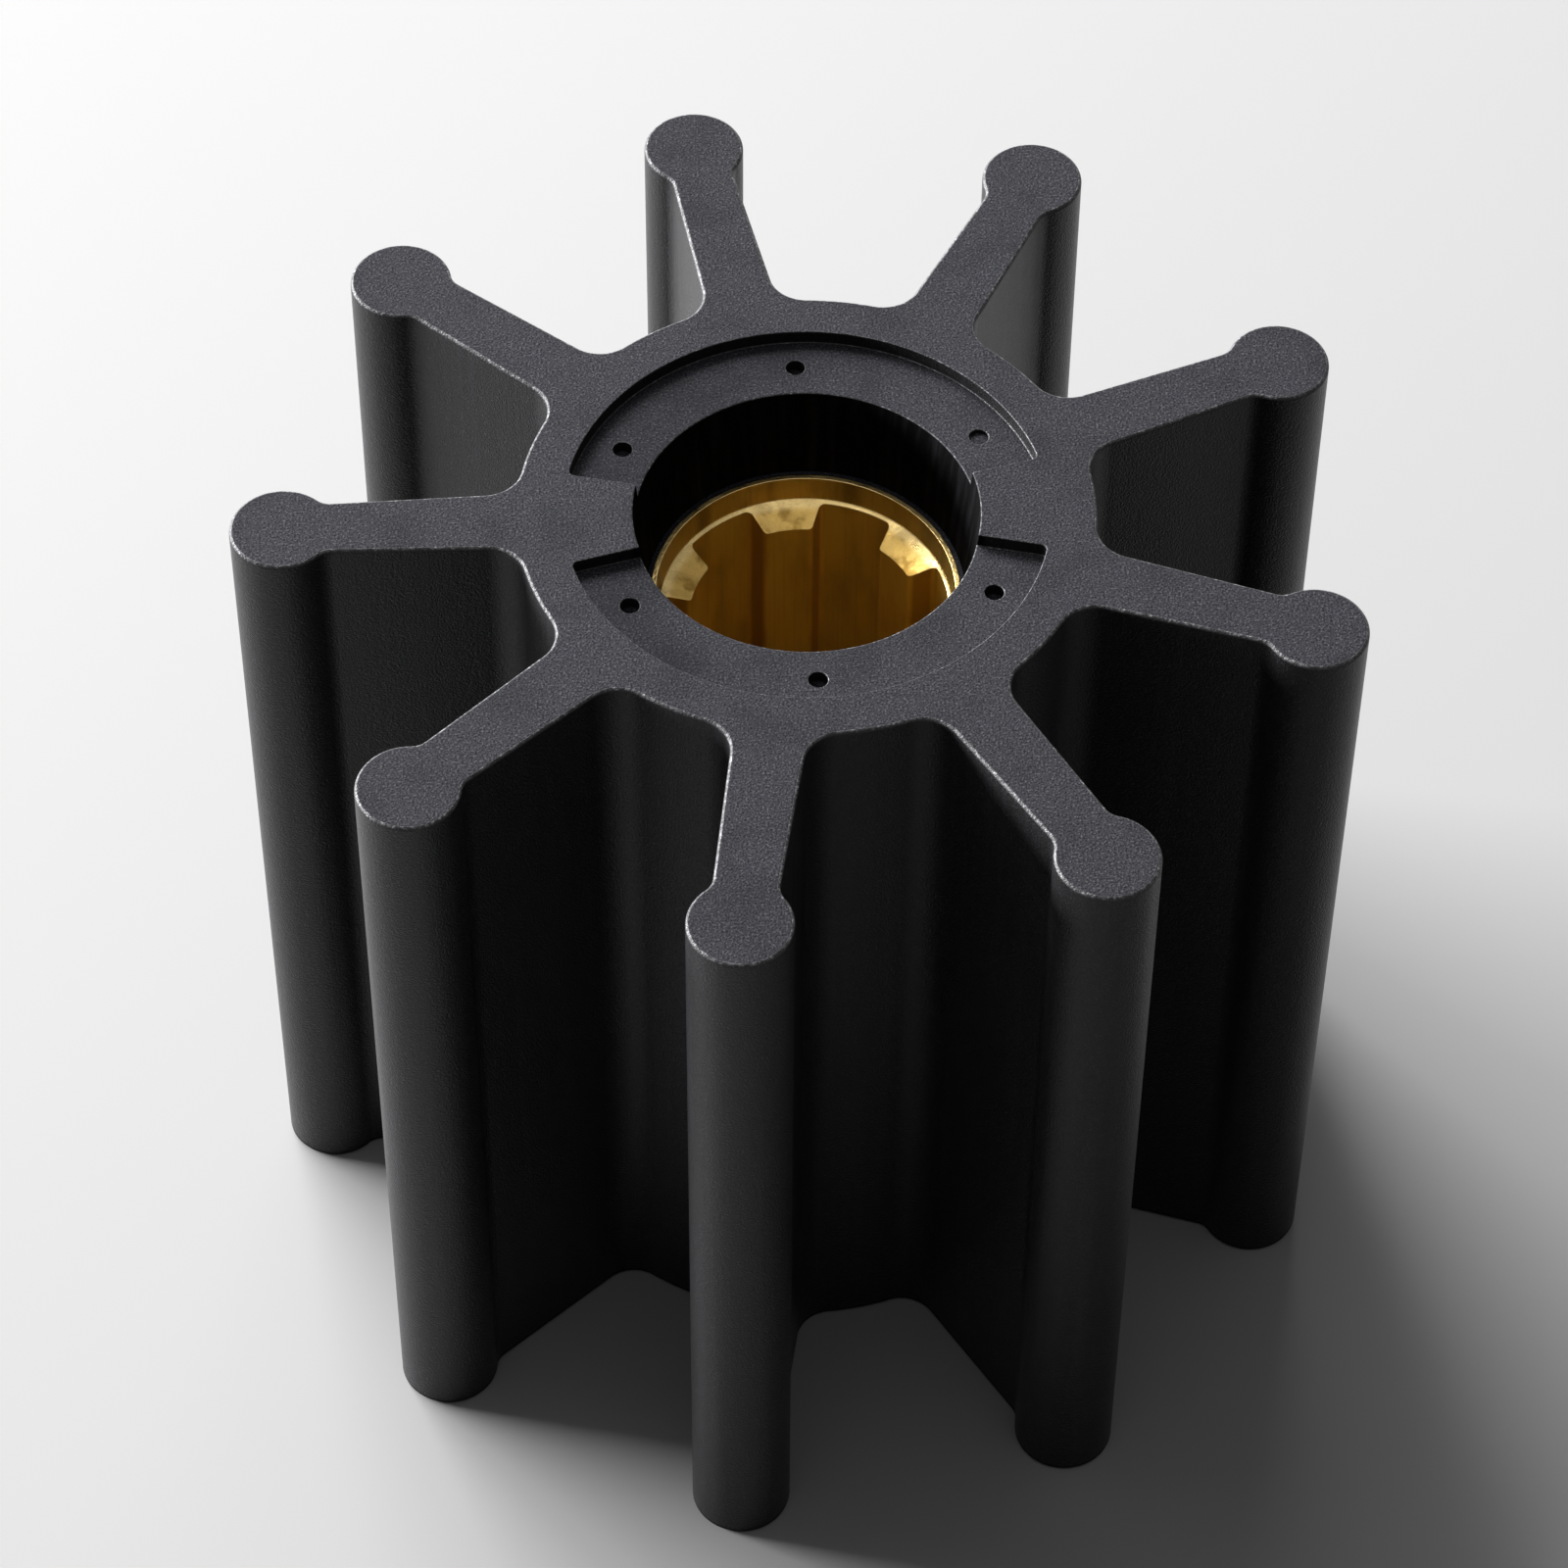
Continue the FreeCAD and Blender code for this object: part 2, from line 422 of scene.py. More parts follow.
@dataclass(frozen=True)
class MachinedBrass:
    """Bare brass, turned on its ends and broached along the spline, with a painted highlight on the
    lead-in's outer ring and painted shade on the counterbores' walls.

    Attributes:
        polish_and_highlight: Colour of the outer ring of the lead-in: polished, and lighter still as a
            painted highlight.
        bright: Colour of the turned faces.
        deep: Colour of the walls.
        brown: Colour of the stain down the grooves, of smudges and scratches, and of the darker middle of
            the tooth flanks.
        dark: Painted shade on the walls of the counterbores, darker in patches.
    """

    polish_and_highlight: Colour = (1.0, 0.74, 0.32)
    bright: Colour = (0.84, 0.55, 0.16)
    deep: Colour = (0.86, 0.58, 0.11)
    brown: Colour = (0.40, 0.22, 0.04)
    dark: Colour = (0.10, 0.055, 0.015)

    def material(self, groove_radius: float) -> bpy.types.Material:
        """Builds the material.

        Args:
            groove_radius: How far the grooves reach from the shaft axis, in millimetres.

        Returns:
            The material of the whole insert.
        """
        made = Finish("machined_brass")
        faced = made.level.step(0.30, 0.60)
        groove = made.radius.step(MM * (groove_radius - 2.2), MM * (groove_radius - 1.7))
        corner = groove * made.radius.step(MM * (groove_radius - 0.1), MM * (groove_radius - 0.5))
        ring = made.rings(0.12)
        scratch = made.noise(Grain((0.22, 0.22, 14.0), detail=3.0))
        stain = made.noise(Grain((3.0, 3.0, 9.0), detail=4.0, offset=3.0))
        smudge = made.noise(Grain.even(1.8, detail=3.0, offset=11.0))
        nick = made.noise(Grain.even(0.30, detail=2.0, offset=5.0))
        counterbore = (1 - faced) * made.radius.step(MM * (groove_radius + 0.15), MM * (groove_radius + 0.3))
        lip = made.radius.step(MM * (groove_radius + 0.4), MM * (groove_radius + 0.6))
        ring_polish_and_highlight = faced * made.radius.step(MM * (groove_radius - 0.8), MM * (groove_radius - 0.1))
        shine = ring_polish_and_highlight * (1 - lip)

        tone = made.blend(faced, self.deep, self.bright)
        tone = made.blend(0.75 * faced * smudge.step(0.48, 0.66), tone, self.brown)
        # The lead-in's outer ring is polished, and painted lighter as a highlight.
        tone = made.blend(0.85 * ring_polish_and_highlight, tone, self.polish_and_highlight)
        tone = made.blend(0.15 * (1 - faced) * (1 - groove), tone, self.brown)
        tone = made.blend(0.55 * (1 - faced) * stain.step(0.40, 0.75), tone, self.brown)
        # The middle of the tooth flanks is coloured a darker brown.
        tone = made.blend(0.90 * (1 - faced) * corner, tone, self.brown)
        tone = made.blend(0.25 * scratch.step(0.50, 0.75), tone, self.brown)
        # Painted shade: the counterbores' walls are painted darker, in patches.
        tone = made.blend(counterbore * (0.25 + 0.40 * stain.step(0.40, 0.70)), tone, self.dark)

        normal = made.bump(faced * smudge, 0.08)
        normal = made.bump(lip * nick, 0.06, normal)
        normal = made.bump(faced * ring, 0.006, normal)
        normal = made.bump((1 - faced) * scratch, 0.010, normal)
        return made.close({
            "Base Color": tone,
            "Metallic": 1 - 0.60 * (1 - faced),
            "Roughness": 0.38 - 0.10 * shine + faced * (0.40 * (smudge - 0.5) + 0.10 * (ring - 0.5)),
            "Normal": normal,
        })


class Form:
    """A mesh in the making, in millimetres."""

    def __init__(self) -> None:
        """Starts with nothing."""
        self.bm = bmesh.new()

    @classmethod
    def turned(cls, points: list[tuple[float, float]], steps: int) -> "Form":
        """A closed solid of revolution about the shaft axis.

        Args:
            points: Radius and height of the corners, from end to end, none of them on the axis.
            steps: How many facets go round.

        Returns:
            The solid, with flat ends.
        """
        made = cls()
        last = made.point(points[0][0], 0, points[0][1])
        for radius, height in points[1:]:
            last = made.line(last, Vector((radius, 0, height)))
        bmesh.ops.spin(
            made.bm, geom=made.all(), cent=CENTRE, axis=UP, angle=FULL_TURN, steps=steps, use_merge=True
        )
        bmesh.ops.holes_fill(made.bm, edges=made.bm.edges[:])
        made.face_outwards()
        return made

    def all(self) -> list:
        """Every vertex, edge and face."""
        return [*self.bm.verts, *self.bm.edges, *self.bm.faces]

    def point(self, x: float, y: float, z: float = 0.0) -> Vert:
        """Adds a vertex."""
        return self.bm.verts.new((x, y, z))

    def line(self, start: Vert, place: Vector) -> Vert:
        """Adds an edge.

        Args:
            start: The vertex that it starts from.
            place: Where it ends.

        Returns:
            The vertex at its end.
        """
        end = self.bm.verts.new(place)
        self.bm.edges.new((start, end))
        return end

    def arc(self, start: Vert, centre: Vector, angle: float, facet: float) -> Vert:
        """Adds an arc about an upright axis.

        Args:
            start: The vertex that it starts from.
            centre: A point of the axis.
            angle: The angle that it turns through, in radians, anticlockwise from above.
            facet: The angle of one of its edges, in degrees.

        Returns:
            The vertex at its end.
        """
        steps = max(1, round(math.degrees(abs(angle)) / facet))
        swept = bmesh.ops.spin(self.bm, geom=[start], cent=centre, axis=UP, angle=angle, steps=steps)
        return next(item for item in swept["geom_last"] if isinstance(item, Vert))

    def mirror_in_y(self) -> None:
        """Adds the mirror image across the XZ plane."""
        bmesh.ops.mirror(self.bm, geom=self.all(), matrix=Matrix.Identity(4), axis="Y", merge_dist=WELD)

    def turn(self, angle: float) -> None:
        """Turns the form about the shaft axis, by an angle in radians."""
        bmesh.ops.rotate(self.bm, verts=self.bm.verts[:], cent=CENTRE, matrix=Matrix.Rotation(angle, 3, "Z"))

    def shift(self, z: float) -> None:
        """Moves the form up."""
        bmesh.ops.translate(self.bm, verts=self.bm.verts[:], vec=UP * z)

    def repeat(self, count: int) -> None:
        """Repeats the form evenly about the shaft axis.

        Args:
            count: How many there are then.
        """
        bmesh.ops.spin(
            self.bm, geom=self.all(), cent=CENTRE, axis=UP,
            angle=FULL_TURN * (count - 1) / count, steps=count - 1, use_duplicate=True,
        )
        bmesh.ops.remove_doubles(self.bm, verts=self.bm.verts[:], dist=WELD)

    def at_both_ends(self, height: float) -> "Form":
        """Adds the mirror image at the other end.

        Args:
            height: The height of the body that the form is mirrored in.

        Returns:
            The form itself.
        """
        copied = bmesh.ops.duplicate(self.bm, geom=self.all())["geom"]
        verts = [item for item in copied if isinstance(item, Vert)]
        bmesh.ops.scale(self.bm, vec=(1, 1, -1), verts=verts)
        bmesh.ops.translate(self.bm, vec=UP * height, verts=verts)
        self.face_outwards()
        return self

    def raise_outline(self, height: float) -> None:
        """Fills the outline and raises it into a prism.

        Args:
            height: The prism's height.
        """
        floor = bmesh.ops.edgeloop_fill(self.bm, edges=self.bm.edges[:])["faces"]
        raised = bmesh.ops.extrude_face_region(self.bm, geom=floor)["geom"]
        verts = [item for item in raised if isinstance(item, Vert)]
        bmesh.ops.translate(self.bm, verts=verts, vec=UP * height)
        self.face_outwards()

    def round_over(self, width: float, segments: int, chosen: Callable[[Edge], bool]) -> None:
        """Rounds edges.

        Args:
            width: How far the rounding reaches from an edge.
            segments: How many facets it has.
            chosen: Says whether an edge is rounded.
        """
        bmesh.ops.dissolve_degenerate(self.bm, edges=self.bm.edges[:], dist=SLIVER)
        edges = [edge for edge in self.bm.edges if chosen(edge)]
        bmesh.ops.bevel(
            self.bm, geom=edges, offset=width, offset_type="OFFSET", segments=segments,
            profile=0.5, affect="EDGES", material=-1, clamp_overlap=False,
        )

    def face_outwards(self) -> None:
        """Turns all faces outwards."""
        bmesh.ops.recalc_face_normals(self.bm, faces=self.bm.faces[:])

    def _loose_object(self, name: str) -> bpy.types.Object:
        """Makes a passing object of the form.

        Args:
            name: The name of the object and its mesh.

        Returns:
            The object, in the scene's collection.
        """
        mesh = bpy.data.meshes.new(name)
        self.bm.to_mesh(mesh)
        made = bpy.data.objects.new(name, mesh)
        bpy.context.scene.collection.objects.link(made)
        return made

    def cut(self, tool: "Form") -> None:
        """Takes a tool's volume out of the form.

        Args:
            tool: A closed form, or several that don't overlap.
        """
        blank = self._loose_object("blank")
        cutter = tool._loose_object("cutter")
        boolean = blank.modifiers.new("cut", "BOOLEAN")
        boolean.operation = "DIFFERENCE"
        boolean.solver = "EXACT"
        boolean.object = cutter
        cut = applied_mesh(blank)
        self.bm.clear()
        self.bm.from_mesh(cut)
        for used in (blank.data, cutter.data, cut):
            bpy.data.meshes.remove(used)
        bmesh.ops.remove_doubles(self.bm, verts=self.bm.verts[:], dist=WELD)
        self.face_outwards()

    def piece(self, name: str, material: bpy.types.Material, crease: float = 40.0) -> bpy.types.Object:
        """Makes the finished piece, in metres. Broad faces keep their own shading beside narrow roundings.

        Args:
            name: The piece's name.
            material: Its material.
            crease: The angle between faces above which an edge stays sharp, in degrees.

        Returns:
            The piece.
        """
        bmesh.ops.dissolve_degenerate(self.bm, edges=self.bm.edges[:], dist=WELD)
        for face in self.bm.faces:
            face.smooth = True
        for edge in self.bm.edges:
            edge.smooth = edge.calc_face_angle(0.0) < math.radians(crease)
        blank = self._loose_object("blank")
        weighting = blank.modifiers.new("even_shading", "WEIGHTED_NORMAL")
        weighting.mode = "FACE_AREA"
        weighting.keep_sharp = True
        mesh = applied_mesh(blank)
        bpy.data.meshes.remove(blank.data)
        self.bm.free()
        mesh.name = name
        mesh.transform(Matrix.Scale(MM, 4))
        mesh.materials.clear()
        mesh.materials.append(material)
        made = bpy.data.objects.new(name, mesh)
        bpy.context.scene.collection.objects.link(made)
        return made


def applied_mesh(blank: bpy.types.Object) -> bpy.types.Mesh:
    """Applies an object's modifiers.

    Args:
        blank: The object, which stays as it is.

    Returns:
        A new mesh.
    """
    graph = bpy.context.evaluated_depsgraph_get()
    return bpy.data.meshes.new_from_object(
        blank.evaluated_get(graph), preserve_all_data_layers=True, depsgraph=graph
    )


def is_corner(edge: Edge) -> bool:
    """Whether an edge's two faces turn by more than those of neighbouring facets do."""
    return edge.calc_face_angle(0.0) > math.radians(LEAST_CORNER)


def stands(edge: Edge) -> bool:
    """Whether an edge is upright."""
    low, high = edge.verts
    return (low.co - high.co).to_2d().length < WELD


def is_upright_at(edge: Edge, radius: float) -> bool:
    """Whether an edge is upright and stands at one radius."""
    return stands(edge) and abs(reach(edge.verts[0]) - radius) < 10 * WELD


def reach(vert: Vert) -> float:
    """A vertex's distance from the shaft axis."""
    return math.hypot(vert.co.x, vert.co.y)


@dataclass
class SplinedInsert:
    """The brass insert that the shaft drives, in millimetres.

    Attributes:
        low: Height of its lower end.
        high: Height of its upper end.
        spigot_radius: Outer radius of its plain ends.
        spigot_length: Length of each plain end.
        barrel_radius: Outer radius between them.
        flute_count: How many grooves lock it in the rubber.
        flute_radius: Radius of such a groove.
        rim_width: Width of the ring round the counterbore.
        counterbore_depth: Depth of the counterbore.
        counterbore_taper: How much narrower its floor is than its mouth.
        lead_in_angle: Slope of the cone below it, in degrees.
        tooth_count: How many teeth the spline has.
        tooth_phase: Angle of one of them, in degrees.
        groove_radius: Radius at the bottom of the grooves.
        tooth_tip_radius: Radius at the tips of the teeth.
        tooth_root_width: Width of a tooth at the bottom of the grooves.
        tooth_tip_width: Width of a tooth at its tip.
        groove_corner: Rounding at the bottom of the grooves.
        tooth_corner: Rounding at the tips of the teeth.
        edge_rounding: Rounding of the rims and of the lead-in's edges.
        facets: How many facets a round surface has.
        flute_facets: How many facets the tool of a lock groove has.
        spline_facet: The angle of one facet of the spline's arcs, in degrees.
        corner_segments: How many facets a corner of the spline has.
        edge_segments: How many facets a rounded edge has.
        overrun: How far a tool runs past the face that it cuts.
    """

    low: float
    high: float
    spigot_radius: float = 13.0
    spigot_length: float = 3.0
    barrel_radius: float = 15.0
    flute_count: int = 8
    flute_radius: float = 1.2
    rim_width: float = 0.5
    counterbore_depth: float = 2.4
    counterbore_taper: float = 0.12
    lead_in_angle: float = 20.0
    tooth_count: int = 6
    tooth_phase: float = 95.4
    groove_radius: float = 12.0
    tooth_tip_radius: float = 9.7
    tooth_root_width: float = 6.1
    tooth_tip_width: float = 4.0
    groove_corner: float = 0.5
    tooth_corner: float = 0.3
    edge_rounding: float = 0.10
    facets: int = 192
    flute_facets: int = 24
    spline_facet: float = 2.0
    corner_segments: int = 6
    edge_segments: int = 2
    overrun: float = 1.0

    def blank(self, longer: float = 0.0) -> Form:
        """The outside: a fluted barrel with a plain spigot at each end.

        Args:
            longer: How much longer each spigot is, where the form is used as a tool.

        Returns:
            The solid.
        """
        shoulder_low = self.low + self.spigot_length
        shoulder_high = self.high - self.spigot_length
        made = Form.turned([
            (self.spigot_radius, self.low - longer),
            (self.spigot_radius, shoulder_low),
            (self.barrel_radius, shoulder_low),
            (self.barrel_radius, shoulder_high),
            (self.spigot_radius, shoulder_high),
            (self.spigot_radius, self.high + longer),
        ], self.facets)
        flute = Form()
        length = shoulder_high - shoulder_low + 2 * self.overrun
        place = Matrix.Translation((self.barrel_radius, 0, (self.low + self.high) / 2))
        bmesh.ops.create_cone(
            flute.bm, segments=self.flute_facets, radius1=self.flute_radius, radius2=self.flute_radius,
            depth=length, cap_ends=True, matrix=place,
        )
        flute.repeat(self.flute_count)
        made.cut(flute)
        return made

    def spline_void(self) -> Form:
        """The space inside the spline, between teeth that narrow towards their tips.

        Returns:
            A prism that runs past both ends.
        """
        half_pitch = math.pi / self.tooth_count
        root_half = math.asin(self.tooth_root_width / 2 / self.groove_radius)
        tip_half = math.asin(self.tooth_tip_width / 2 / self.tooth_tip_radius)
        root = Matrix.Rotation(root_half, 3, "Z") @ Vector((self.groove_radius, 0, 0))
        made = Form()
        tip_end = made.arc(made.point(self.tooth_tip_radius, 0), CENTRE, tip_half, self.spline_facet)
        made.arc(made.line(tip_end, root), CENTRE, half_pitch - root_half, self.spline_facet)
        made.mirror_in_y()
        made.repeat(self.tooth_count)
        made.turn(math.radians(self.tooth_phase))
        made.raise_outline(self.high - self.low + 2 * self.overrun)
        corners = ((self.groove_radius, self.groove_corner), (self.tooth_tip_radius, self.tooth_corner))
        for radius, corner in corners:
            made.round_over(
                corner, self.corner_segments, lambda edge: is_corner(edge) and is_upright_at(edge, radius)
            )
        made.shift(self.low - self.overrun)
        return made

    def counterbore(self) -> Form:
        """The counterbore and the coned lead-in at the upper end.

        Returns:
            The tool.
        """
        top = self.spigot_radius - self.rim_width
        floor = top - self.counterbore_taper
        tip = 0.5 * self.tooth_tip_radius
        drop = (floor - tip) * math.tan(math.radians(self.lead_in_angle))
        return Form.turned([
            (tip, self.high - self.counterbore_depth - drop),
            (floor, self.high - self.counterbore_depth),
            (top, self.high),
            (top, self.high + self.overrun),
        ], self.facets)

    def build(self, finish: MachinedBrass) -> bpy.types.Object:
        """Builds and dresses the insert.

        Args:
            finish: Its finish.

        Returns:
            The piece.
        """
        form = self.blank()
        form.cut(self.spline_void())
        form.cut(self.counterbore().at_both_ends(self.low + self.high))
        form.round_over(self.edge_rounding, self.edge_segments, self._is_worn)
        return form.piece("brass_spline_insert", finish.material(self.groove_radius))

    def _is_worn(self, edge: Edge) -> bool:
        """Finds the edges that turning and use have rounded.

        Args:
            edge: An edge of the insert.

        Returns:
            Whether it is one of the rims, or one where the lead-in meets a tooth or a groove.
        """
        middle = (self.low + self.high) / 2
        height = (edge.verts[0].co.z + edge.verts[1].co.z) / 2
        depth = (self.high - self.low) / 2 - abs(height - middle)
        outside = min(reach(vert) for vert in edge.verts) > self.spigot_radius - 10 * WELD
        shown = depth < 10 * WELD if outside else depth < 2 * self.counterbore_depth
        return shown and is_corner(edge) and not stands(edge)


@dataclass
class Vane:
    """One vane's plan, pointing along X, in millimetres.

    Attributes:
        pitch: The angle from one vane to the next, in radians.
        hub_radius: Radius of the hub that it stands on.
        bulb_radius: Radius of the bulb at its tip.
        bulb_circle_radius: Distance of the bulb's centre from the shaft axis.
        root_thickness: Thickness of the web at the hub.
        tip_thickness: Thickness of the web at the bulb's centre.
        root_fillet: Radius between the web and the hub.
        neck_fillet: Radius between the web and the bulb.
        hub_facet: The angle of one facet of the hub, in degrees.
        bulb_facet: That of the bulb.
        fillet_facet: That of a fillet.
    """

    pitch: float
    hub_radius: float
    bulb_radius: float = 4.3
    bulb_circle_radius: float = 43.2
    root_thickness: float = 6.1
    tip_thickness: float = 5.2
    root_fillet: float = 3.2
    neck_fillet: float = 1.7
    hub_facet: float = 1.0
    bulb_facet: float = 3.0
    fillet_facet: float = 4.0

    def outline(self) -> Form:
        """The vane's outline with half of the hub's arc on each side.

        Returns:
            An open chain of edges.
        """
        bulb = Vector((self.bulb_circle_radius, 0, 0))
        neck = self._fillet_centre(bulb, self.bulb_radius, self.neck_fillet, min)
        root = self._fillet_centre(CENTRE, self.hub_radius, self.root_fillet, max)
        inward = -self._flank_normal()

        made = Form()
        last = made.point(self.bulb_circle_radius + self.bulb_radius, 0)
        last = made.arc(last, bulb, self._angle_of(neck - bulb), self.bulb_facet)
        last = made.arc(last, neck, -(bulb - neck).angle(inward), self.fillet_facet)
        last = made.line(last, root + inward * self.root_fillet)
        last = made.arc(last, root, -inward.angle(CENTRE - root), self.fillet_facet)
        made.arc(last, CENTRE, self.pitch / 2 - self._angle_of(root), self.hub_facet)
        made.mirror_in_y()
        return made

    def _flank(self, x: float) -> Vector:
        """Finds a point of the web's flank.

        Args:
            x: Its distance from the shaft axis, along the vane.

        Returns:
            The point.
        """
        share = (x - self.hub_radius) / (self.bulb_circle_radius - self.hub_radius)
        thickness = self.root_thickness + (self.tip_thickness - self.root_thickness) * share
        return Vector((x, thickness / 2, 0))

    def _flank_normal(self) -> Vector:
        """The direction in which the web's flank faces."""
        along = self._flank(self.bulb_circle_radius) - self._flank(self.hub_radius)
        return Vector((-along.y, along.x, 0)).normalized()

    def _fillet_centre(
        self, middle: Vector, radius: float, fillet: float, which: Callable[..., Vector]
    ) -> Vector:
        """Finds the centre of a fillet between the web's flank and a circle.

        Args:
            middle: The circle's centre.
            radius: Its radius.
            fillet: The fillet's radius.
            which: Takes the nearer or the farther of the two centres that fit, min or max.

        Returns:
            The centre.
        """
        out = self._flank_normal() * fillet
        start = (self._flank(self.hub_radius) + out).to_2d()
        end = (self._flank(self.bulb_circle_radius) + out).to_2d()
        hits = intersect_line_sphere_2d(start, end, middle.to_2d(), radius + fillet, False)
        return which(hits, key=lambda hit: hit.x).to_3d()

    @staticmethod
    def _angle_of(direction: Vector) -> float:
        """A direction's angle from X, in radians."""
        return math.atan2(direction.y, direction.x)


@dataclass
class RubberBody:
    """The moulded rubber hub with its vanes, in millimetres.

    Attributes:
        height: Its height.
        hub_radius: Radius of the hub between the vanes.
        vane_count: How many vanes it has.
        first_vane_angle: Angle of one of them, in degrees.
        rim_rounding: Rounding of the outline's edges on both end faces.
        recess_radius: Outer radius of the recess in each end face.
        recess_depth: Its depth.
        bridge_angle: Angle that each raised bridge across it takes, in degrees.
        recess_corner: Rounding of the recess in its corners.
        pit_count: How many blind pits its floor has.
        pit_circle_radius: Distance of the pits from the shaft axis.
        pit_radius: Radius of a pit.
        pit_depth: Depth of a pit.
        worn_pit_depth: Depth of the one that is nearly closed.
        mouth_radius: Radius of the tapered mouth at the end face.
        seat_radius: Its radius where it meets the insert.
        mouth_depth: Its depth.
        edge_rounding: Rounding of the edges inside the recess.
        facets: How many facets a round surface has.
        pit_facets: How many facets a pit has.
        recess_facet: The angle of one facet of the recess, in degrees.
        mouth_facet: That of the recess's tool inside the mouth, where it cuts nothing.
        rim_segments: How many facets a rounded rim has.
        corner_segments: How many facets a corner of the recess has.
        edge_segments: How many facets a rounded edge has.
        overrun: How far a tool runs past the face that it cuts.
        vane: One vane's plan.
    """

    height: float
    hub_radius: float = 24.0
    vane_count: int = 9
    first_vane_angle: float = 180.0
    rim_rounding: float = 0.38
    recess_radius: float = 20.1
    recess_depth: float = 1.3
    bridge_angle: float = 28.0
    recess_corner: float = 0.5
    pit_count: int = 6
    pit_circle_radius: float = 17.2
    pit_radius: float = 0.8
    pit_depth: float = 1.1
    worn_pit_depth: float = 0.4
    mouth_radius: float = 14.35
    seat_radius: float = 13.35
    mouth_depth: float = 10.1
    edge_rounding: float = 0.12
    facets: int = 192
    pit_facets: int = 32
    recess_facet: float = 2.0
    mouth_facet: float = 4.0
    rim_segments: int = 5
    corner_segments: int = 6
    edge_segments: int = 3
    overrun: float = 1.0
    vane: Vane = field(init=False)

    def __post_init__(self) -> None:
        """Makes the vane's plan."""
        self.vane = Vane(FULL_TURN / self.vane_count, self.hub_radius)

    def star(self) -> Form:
        """The hub and its vanes as one prism with rounded rims.

        Returns:
            The solid.
        """
        made = self.vane.outline()
        made.repeat(self.vane_count)
        made.turn(math.radians(self.first_vane_angle))
        made.raise_outline(self.height)
        made.round_over(self.rim_rounding, self.rim_segments, lambda edge: not stands(edge))
        return made

    def mouth(self) -> Form:
        """The tapered opening from the upper end face down to the insert.

        Returns:
            The tool.
        """
        slope = (self.mouth_radius - self.seat_radius) / self.mouth_depth
        return Form.turned([
            (self.seat_radius, self.height - self.mouth_depth),
            (self.mouth_radius + slope * self.overrun, self.height + self.overrun),
        ], self.facets)

    def pockets(self) -> Form:
        """The two halves of the upper recess, between the bridges.

        Returns:
            The tools.
        """
        half = math.radians(180.0 - self.bridge_angle) / 2
        made = Form()
        outer_end = made.arc(made.point(self.recess_radius, 0), CENTRE, half, self.recess_facet)
        inner_end = made.line(outer_end, outer_end.co.normalized() * (self.seat_radius - self.overrun))
        made.arc(inner_end, CENTRE, -half, self.mouth_facet)
        made.mirror_in_y()
        made.raise_outline(self.recess_depth + self.overrun)
        made.round_over(
            self.recess_corner, self.corner_segments,
            lambda edge: is_corner(edge) and is_upright_at(edge, self.recess_radius),
        )
        made.turn(math.radians(90.0))
        made.repeat(2)
        made.shift(self.height - self.recess_depth)
        return made

    def pits(self) -> Form:
        """The blind pits in the floor of the upper recess.

        Returns:
            The tools.
        """
        made = Form()
        floor = self.height - self.recess_depth
        for number in range(self.pit_count):
            depth = self.pit_depth if number else self.worn_pit_depth
            angle = (number + 0.5) * FULL_TURN / self.pit_count
            place = Matrix.Rotation(angle, 4, "Z") @ Matrix.Translation((self.pit_circle_radius, 0, floor))
            bmesh.ops.create_cone(
                made.bm, segments=self.pit_facets, radius1=self.pit_radius, radius2=self.pit_radius,
                depth=2 * depth, cap_ends=True, matrix=place,
            )
        return made

    def build(self, insert: SplinedInsert, finish: MouldedRubber) -> bpy.types.Object:
        """Builds and dresses the body.

        Args:
            insert: The insert that it is moulded round.
            finish: Its finish.

        Returns:
            The piece.
        """
        form = self.star()
        for tool in (self.mouth(), self.pockets(), self.pits()):
            form.cut(tool.at_both_ends(self.height))
        form.cut(insert.blank(self.overrun))
        form.round_over(self.edge_rounding, self.edge_segments, self._is_recess_edge)
        return form.piece("moulded_impeller_body", finish.material())

    def _is_recess_edge(self, edge: Edge) -> bool:
        """Finds the edges on and in an end face that lie inside the recess's outer wall.

        Args:
            edge: An edge of the body.

        Returns:
            Whether it belongs to a recess, a pit's rim or a mouth's rim.
        """
        depths = [self.height / 2 - abs(vert.co.z - self.height / 2) for vert in edge.verts]
        inside = max(reach(vert) for vert in edge.verts) < self.recess_radius + 10 * WELD
        return inside and max(depths) < self.recess_depth + 10 * WELD and is_corner(edge)


@dataclass(frozen=True)
class Viewpoint:
    """Where the photograph was taken from.

    Attributes:
        level: Height of the upper end face, in metres.
        aim: X and Y of the point on that face's plane that it looks at, in millimetres.
        azimuth: Angle round the object from the front, in degrees.
        elevation: Angle above the horizon, in degrees.
        distance: Distance from the aim, in metres.
        roll: How far the picture is turned clockwise, in degrees.
        lens: Focal length on a frame 36 mm wide, in millimetres.
    """

    level: float
    aim: tuple[float, float] = (-3.39, -28.94)
    azimuth: float = -3.36
    elevation: float = 51.05
    distance: float = 0.4523
    roll: float = 0.46
    lens: float = 131.2

    def camera(self) -> bpy.types.Object:
        """Makes the camera and puts it in use.

        Returns:
            The camera.
        """
        data = bpy.data.cameras.new("camera")
        data.lens = self.lens
        data.sensor_width = 36.0
        data.clip_start = 0.01
        made = bpy.data.objects.new("camera", data)
        bpy.context.scene.collection.objects.link(made)
        turn = Matrix.Rotation(math.radians(self.azimuth), 4, "Z")
        tilt = Matrix.Rotation(math.radians(90.0 - self.elevation), 4, "X")
        roll = Matrix.Rotation(math.radians(self.roll), 4, "Z")
        back = Matrix.Translation((0, 0, self.distance))
        aim = Vector((self.aim[0] * MM, self.aim[1] * MM, self.level))
        made.matrix_world = Matrix.Translation(aim) @ turn @ tilt @ back @ roll
        bpy.context.scene.camera = made
        return made


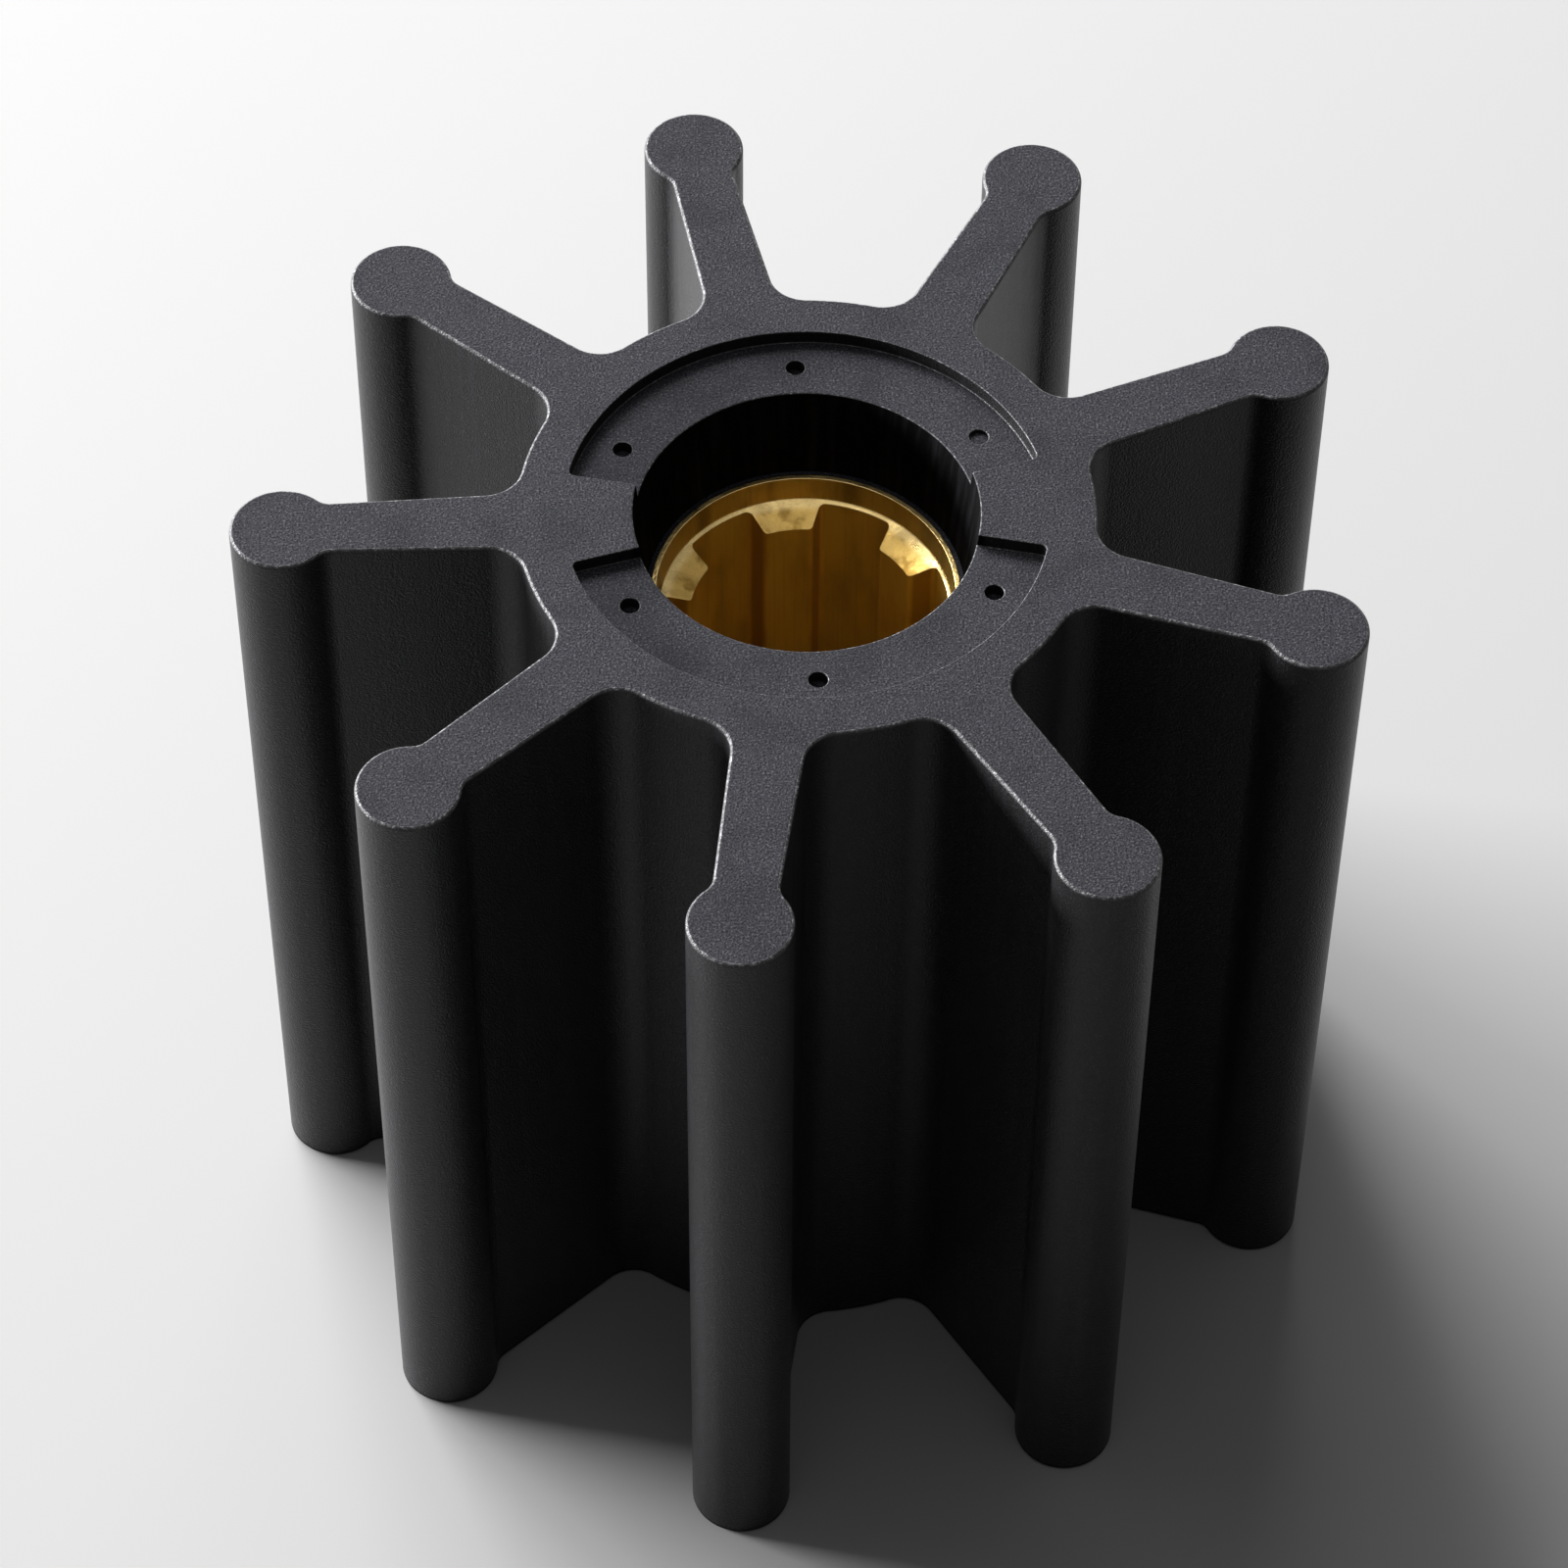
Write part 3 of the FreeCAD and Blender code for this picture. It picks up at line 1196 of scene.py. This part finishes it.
@dataclass(frozen=True)
class SoftBox:
    """A soft lamp.

    Attributes:
        name: Its name.
        azimuth: Its direction from the object, in degrees, anticlockwise from X.
        elevation: Its angle above the horizon, in degrees.
        distance: Its distance, in metres.
        size: Its width and height, in metres.
        power: Its power, in watts.
    """

    name: str
    azimuth: float
    elevation: float
    distance: float
    size: tuple[float, float]
    power: float

    def light(self, aim: Vector) -> bpy.types.Object:
        """Makes the lamp.

        Args:
            aim: The point that it shines at.

        Returns:
            The lamp.
        """
        data = bpy.data.lights.new(self.name, "AREA")
        data.shape = "RECTANGLE"
        data.size, data.size_y = self.size
        data.energy = self.power
        made = bpy.data.objects.new(self.name, data)
        bpy.context.scene.collection.objects.link(made)
        lift = Matrix.Rotation(math.radians(-self.elevation), 3, "Y")
        towards = Matrix.Rotation(math.radians(self.azimuth), 3, "Z") @ lift @ Vector((1, 0, 0))
        made.location = aim + towards * self.distance
        made.rotation_euler = towards.to_track_quat("Z", "Y").to_euler()
        return made


@dataclass(frozen=True)
class Studio:
    """A plain pale floor in a plain room.

    Attributes:
        floor_colour: Colour of the floor.
        room_shown: Brightness of the room where it is seen or mirrored.
        room_light: Brightness of the room as a light.
        floor_size: Length of the floor's sides, in metres.
        lamps: The lamps.
    """

    floor_colour: Colour = (0.46, 0.46, 0.46)
    room_shown: float = 0.35
    room_light: float = 0.06
    floor_size: float = 6.0
    lamps: tuple[SoftBox, ...] = (
        SoftBox("key_lamp", azimuth=117.0, elevation=40.0, distance=1.6, size=(0.8, 0.8), power=32.0),
        SoftBox("left_lamp", azimuth=152.0, elevation=9.0, distance=1.6, size=(0.9, 0.30), power=100.0),
        SoftBox("back_lamp", azimuth=88.0, elevation=52.0, distance=1.0, size=(0.35, 0.35), power=1.2),
        SoftBox("top_lamp", azimuth=-85.0, elevation=80.0, distance=1.0, size=(0.6, 0.6), power=0.42),
        SoftBox("side_lamp", azimuth=160.0, elevation=69.0, distance=1.0, size=(0.3, 0.3), power=0.35),
    )

    def lay_floor(self, level: float) -> bpy.types.Object:
        """Makes the floor.

        Args:
            level: Its height, in metres.

        Returns:
            The floor.
        """
        finish = Finish("plain_floor")
        made = bmesh.new()
        place = Matrix.Translation((0, 0, level))
        bmesh.ops.create_grid(made, x_segments=1, y_segments=1, size=self.floor_size / 2, matrix=place)
        mesh = bpy.data.meshes.new("floor")
        made.to_mesh(mesh)
        made.free()
        mesh.materials.append(finish.close({"Base Color": self.floor_colour, "Roughness": 0.9}))
        floor = bpy.data.objects.new("floor", mesh)
        bpy.context.scene.collection.objects.link(floor)
        return floor

    def light_room(self) -> None:
        """Makes the world: dim as a light, pale where it is seen or mirrored."""
        world = bpy.data.worlds.new("room")
        world.use_nodes = True
        bpy.context.scene.world = world
        nodes = Nodes(world.node_tree)
        ray = nodes.node("ShaderNodeLightPath")
        camera, glossy, through = (
            Field(nodes, ray.outputs[name])
            for name in ("Is Camera Ray", "Is Glossy Ray", "Is Transmission Ray")
        )
        seen = camera.or_more(glossy).or_more(through)
        strength = self.room_light + (self.room_shown - self.room_light) * seen
        shade = nodes.node("ShaderNodeBackground", sockets={"Color": (1.0, 1.0, 1.0), "Strength": strength})
        nodes.node("ShaderNodeOutputWorld", sockets={"Surface": shade.outputs[0]})


def settle(piece: bpy.types.Object, node: str) -> None:
    """Puts a finished piece in its node's place.

    Args:
        piece: The piece.
        node: The node that it stands for.
    """
    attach(piece, "root")
    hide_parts(node)
    log.info("%s: %d faces, for %s", piece.name, len(piece.data.polygons), node)


def main() -> None:
    """Builds the impeller, then the studio and the camera."""
    logging.basicConfig(level=logging.INFO, format="%(name)s: %(message)s")
    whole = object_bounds()
    insert_low, insert_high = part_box("splined_insert")
    height = whole[1].z / MM

    insert = SplinedInsert(low=insert_low.z / MM, high=insert_high.z / MM)
    body = RubberBody(height=height)
    settle(body.build(insert, MouldedRubber()), "rubber_body")
    settle(insert.build(MachinedBrass()), "splined_insert")

    studio = Studio()
    studio.lay_floor(whole[0].z - FLOOR_GAP * MM)
    studio.light_room()
    middle = Vector((0, 0, height * MM / 2))
    for lamp in studio.lamps:
        lamp.light(middle)
        log.info("%s: %.2f W", lamp.name, lamp.power)
    Viewpoint(level=height * MM).camera()
    bpy.context.scene.view_settings.view_transform = "Standard"


if __name__ == "__main__":
    main()
